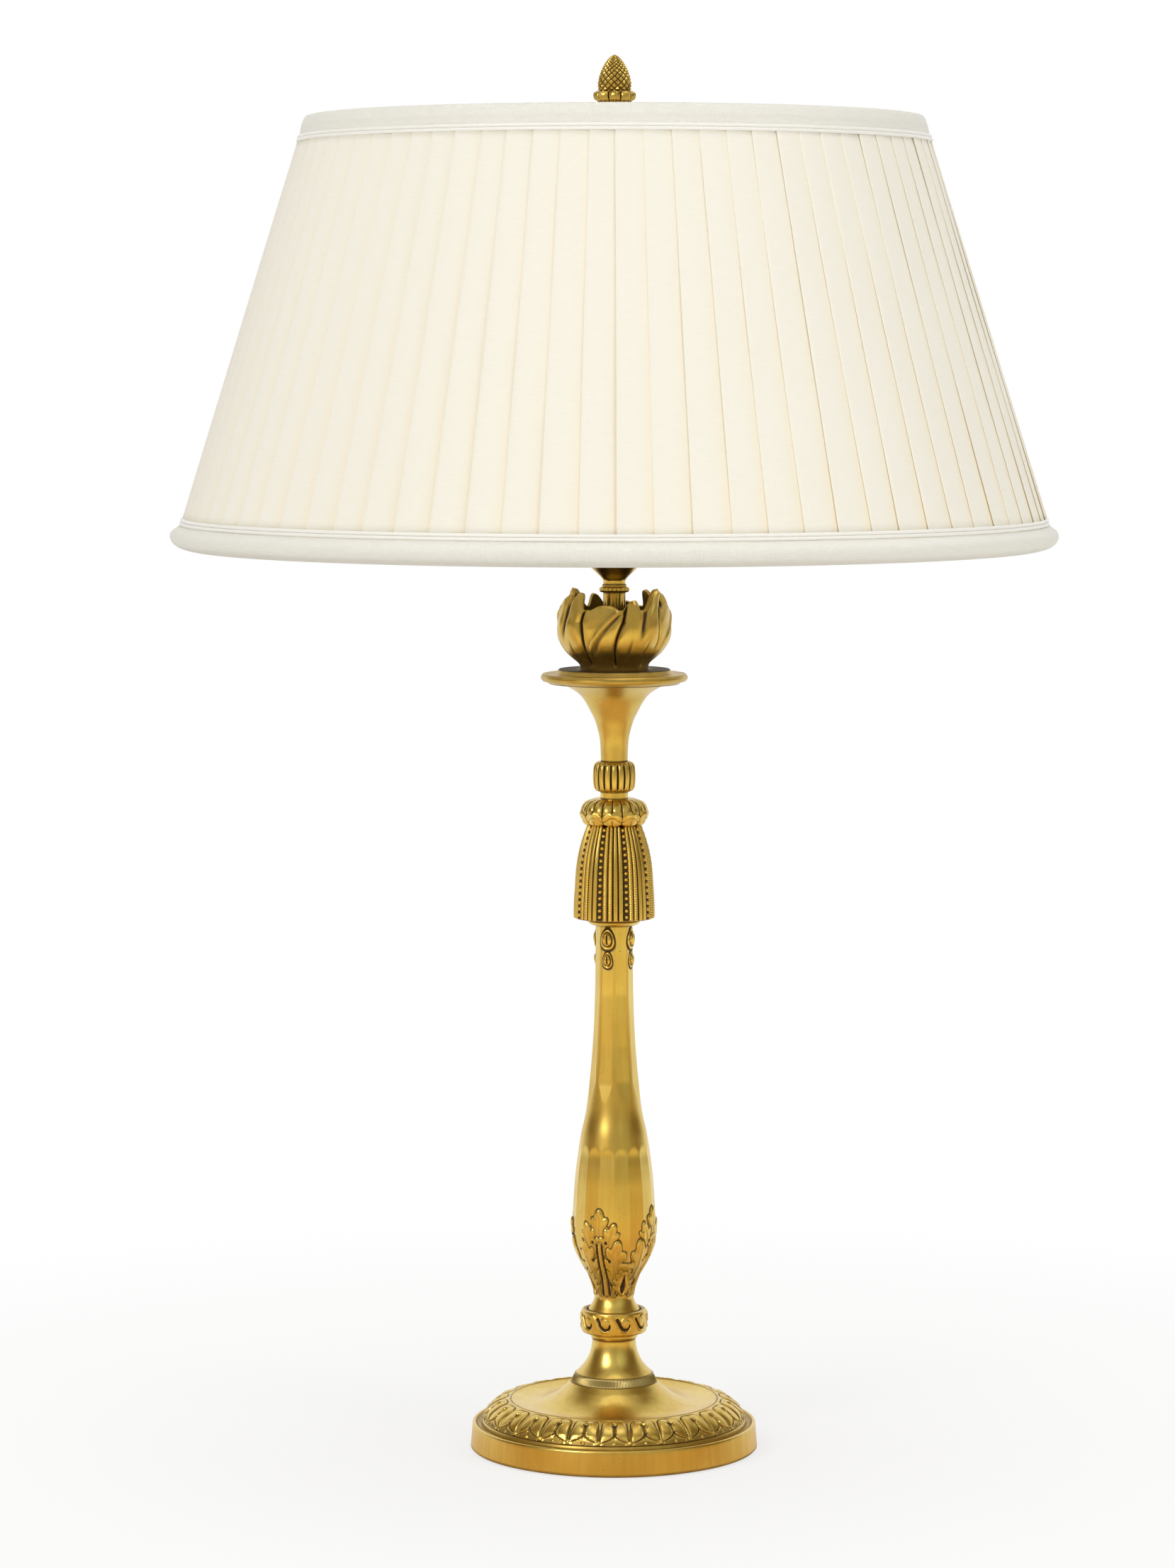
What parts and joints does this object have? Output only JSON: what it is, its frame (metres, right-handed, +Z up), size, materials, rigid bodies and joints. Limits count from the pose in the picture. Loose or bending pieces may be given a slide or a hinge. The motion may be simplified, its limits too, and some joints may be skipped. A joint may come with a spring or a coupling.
{
  "type": "candlestick table lamp",
  "caption": "Gilt-brass candlestick table lamp: weighted round foot, baluster and tassel stem, flame cup, harp, knife-pleated cone shade and a screw-down pinecone finial.",
  "frame": {"origin": "centre of the underside of the felt pad, on the stem axis", "axes": "+Z up along the stem; +Y to the back, where the cord inlet is; -Y is the front; +X to the right seen from the front"},
  "size_m": [0.4814, 0.4814, 0.762],
  "materials": {
    "gilt_brass": "lacquered gilt casting with dark patina in its recesses",
    "knurled_brass": "matte, finely knurled and darkened",
    "polished_tube": "polished drawn tube",
    "zinc_steel": "zinc plated",
    "grey_iron": "as cast",
    "felt": "pressed wool felt",
    "bush_plastic": "moulded",
    "plated_harp": "brass plated steel wire and strip",
    "holder_brass": "bright pressed sheet",
    "sleeve_card": "pressed fibre card",
    "holder_moulding": "compression moulded",
    "knob_plastic": "moulded and fluted",
    "cap_aluminium": "rolled thread",
    "contact_solder": "soldered button",
    "opal_glass": "frosted inside",
    "pleated_cloth": "knife pleated slub cotton",
    "lining_sheet": "paper backed shade sheet",
    "grosgrain": "ribbed ribbon",
    "gimp_braid": "two cord braid",
    "enamelled_wire": "white enamel"
  },
  "bodies": {
    "lamp_body": {"felt_pad": "felt", "cover_plate": "zinc_steel", "base_weight": "grey_iron", "rod_nut": "zinc_steel", "lock_washer": "zinc_steel", "cord_bushing": "bush_plastic", "foot_casting": "gilt_brass", "threaded_rod": "zinc_steel", "knurled_ring": "knurled_brass", "foot_neck": "gilt_brass", "neck_ring": "gilt_brass", "wave_collar": "gilt_brass", "baluster": "gilt_brass", "tassel_ring": "gilt_brass", "tassel": "gilt_brass", "tassel_cap": "gilt_brass", "stem_spacer": "gilt_brass", "reeded_collar": "gilt_brass", "trumpet_stem": "gilt_brass", "drip_plate": "gilt_brass", "flame_cup": "gilt_brass", "riser_tube": "polished_tube", "beaded_ring": "gilt_brass", "thin_ring": "gilt_brass", "holder_cup": "gilt_brass", "harp_saddle": "plated_harp", "harp_bow": "plated_harp", "harp_top": "plated_harp", "holder_cap": "holder_brass", "holder_shell": "holder_brass", "insulating_sleeve": "sleeve_card", "holder_body": "holder_moulding", "screw_shell": "holder_brass", "contact_tongue": "holder_brass"},
    "shade": {"shade_cover": "pleated_cloth", "shade_lining": "lining_sheet", "shade_top_ring": "enamelled_wire", "shade_bottom_ring": "enamelled_wire", "ribbon_top": "grosgrain", "ribbon_bottom": "grosgrain", "gimp_top": "gimp_braid", "gimp_bottom": "gimp_braid", "spider_hub": "enamelled_wire", "spider_arms": "enamelled_wire"},
    "finial_thread": {"finial_bush": "holder_brass"},
    "finial": {"finial": "gilt_brass"},
    "bulb_foot": {"bulb_contact": "contact_solder"},
    "bulb": {"bulb_cap": "cap_aluminium", "bulb_glass": "opal_glass"},
    "switch": {"switch_shaft": "holder_brass", "switch_knob": "knob_plastic"},
    "left_ferrule": {"ferrule_left": "plated_harp"},
    "right_ferrule": {"ferrule_right": "plated_harp"}
  },
  "joints": [
    {"name": "shade_turn", "type": "hinge", "parent": "lamp_body", "child": "shade", "pos_m": [0, 0, 0.7185], "axis": [0, 0, 1], "continuous": true},
    {"name": "finial_lift", "type": "slide", "parent": "lamp_body", "child": "finial_thread", "axis": [0, 0, 1], "range_m": [0, 0.0075]},
    {"name": "finial_turn", "type": "hinge", "parent": "finial_thread", "child": "finial", "pos_m": [0, 0, 0.7204], "axis": [0, 0, 1], "range_deg": [0, 2880]},
    {"name": "bulb_lift", "type": "slide", "parent": "lamp_body", "child": "bulb_foot", "axis": [0, 0, 1], "range_m": [0, 0.0146]},
    {"name": "bulb_turn", "type": "hinge", "parent": "bulb_foot", "child": "bulb", "pos_m": [0, 0, 0.5172], "axis": [0, 0, 1], "range_deg": [0, 1440]},
    {"name": "switch_turn", "type": "hinge", "parent": "lamp_body", "child": "switch", "pos_m": [0, -0.0168, 0.5075], "axis": [0, -1, 0], "continuous": true},
    {"name": "left_ferrule_lift", "type": "slide", "parent": "lamp_body", "child": "left_ferrule", "axis": [0, 0, 1], "range_m": [0, 0.012]},
    {"name": "right_ferrule_lift", "type": "slide", "parent": "lamp_body", "child": "right_ferrule", "axis": [0, 0, 1], "range_m": [0, 0.012]}
  ],
  "couplings": [
    {"joint": "finial_turn", "follows": "finial_lift", "rad_per_m": 6679},
    {"joint": "bulb_lift", "follows": "bulb_turn", "m_per_rad": 0.0005775}
  ]
}
